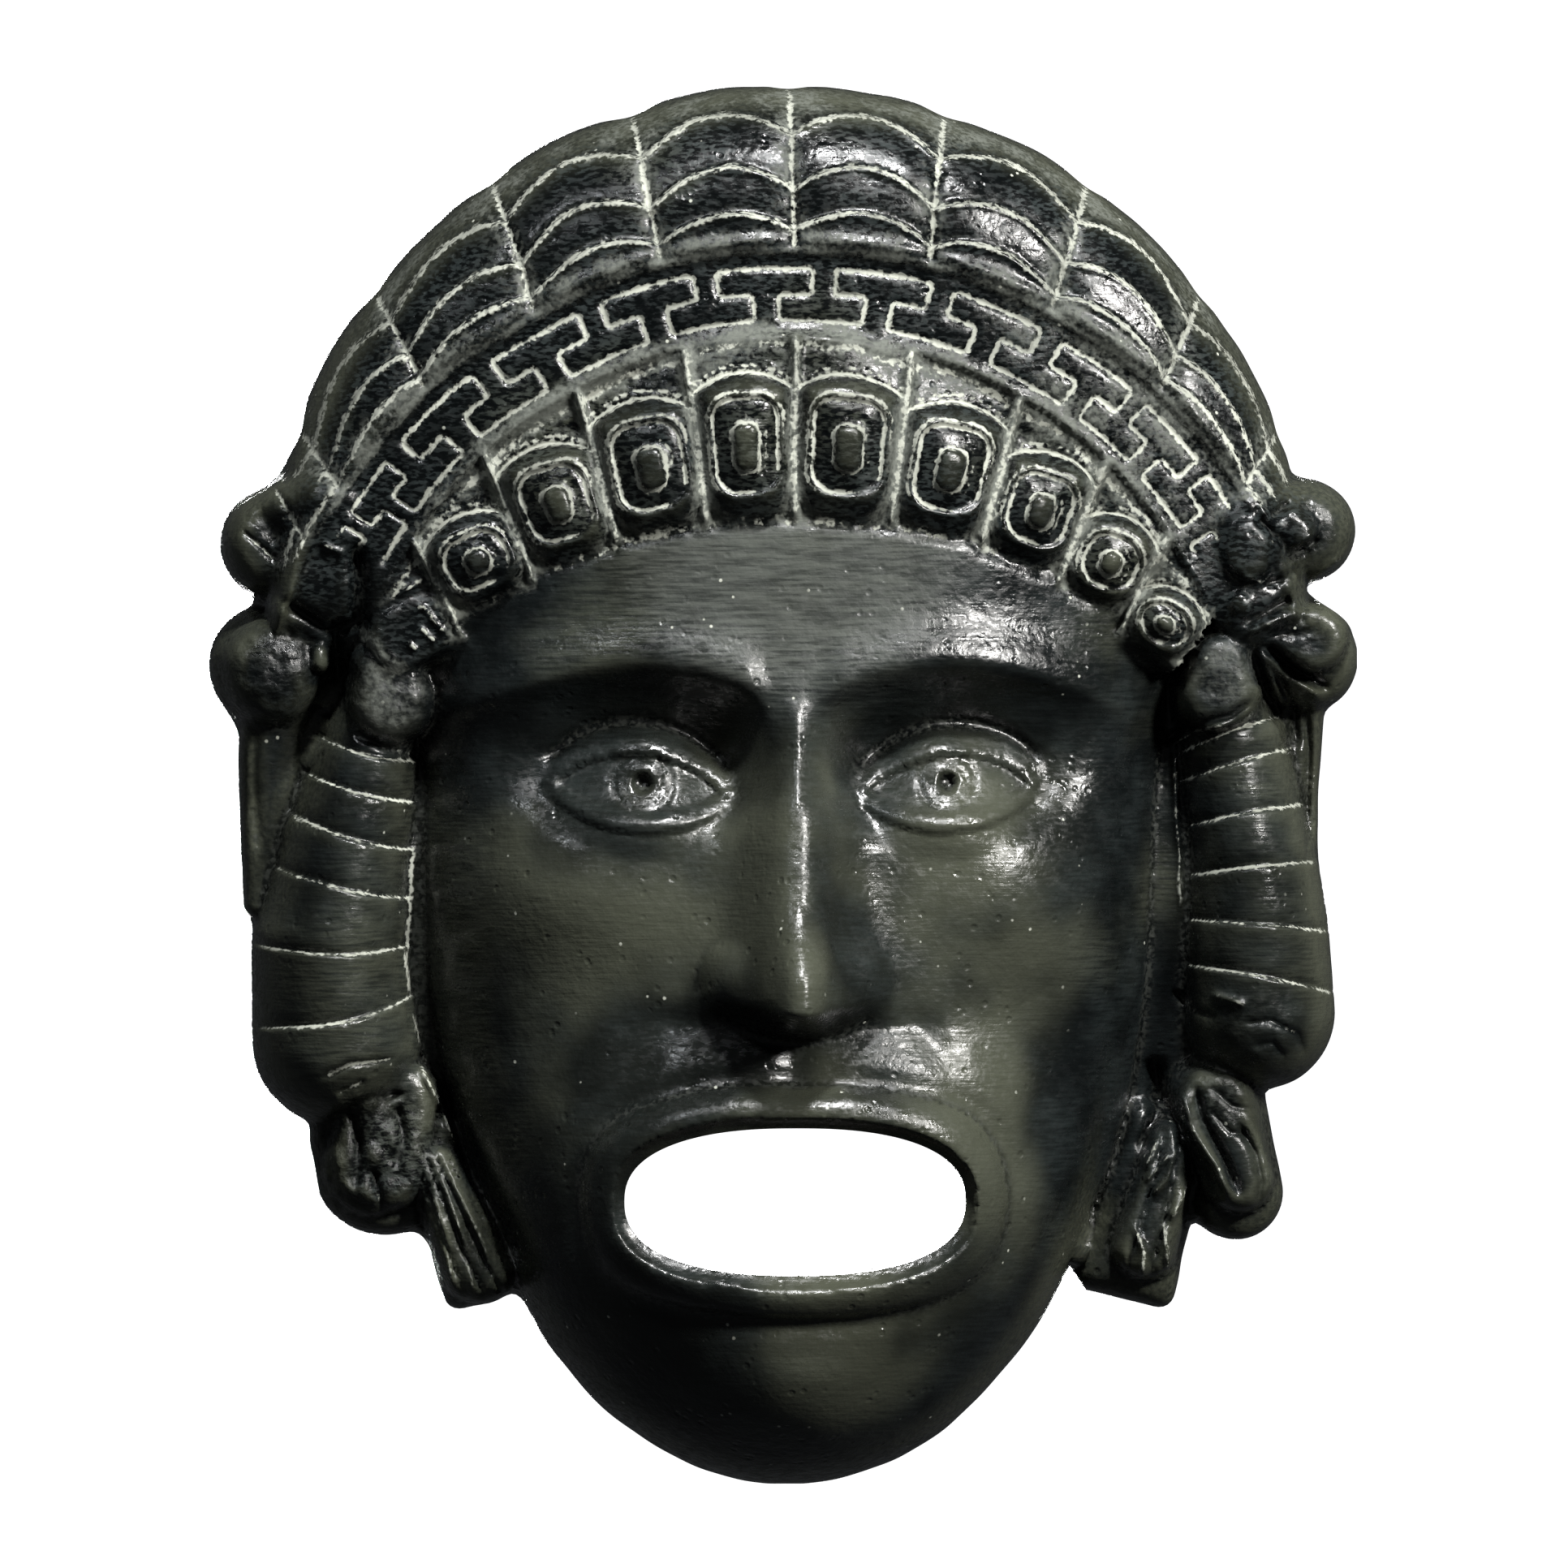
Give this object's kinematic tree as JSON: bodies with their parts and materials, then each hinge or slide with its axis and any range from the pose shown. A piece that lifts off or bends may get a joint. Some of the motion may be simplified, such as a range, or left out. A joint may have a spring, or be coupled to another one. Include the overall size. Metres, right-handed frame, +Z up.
{
  "type": "terracotta theatre mask wall plaque",
  "caption": "Hollow-backed clay wall plaque in the form of a theatre mask, with an open mouth, scaled headdress, key-pattern band, curled fringe and side rolls.",
  "frame": {"origin": "on the flat back rim at the middle of the top, where the plaque lies against the wall", "axes": "+X to the viewer's right, +Y into the wall, +Z up"},
  "size_m": [0.1969, 0.0737, 0.2395],
  "materials": {
    "slip": "half-glossy black slip with pale clay in the cut lines"
  },
  "bodies": {
    "root": {"mask": "slip"}
  },
  "joints": []
}
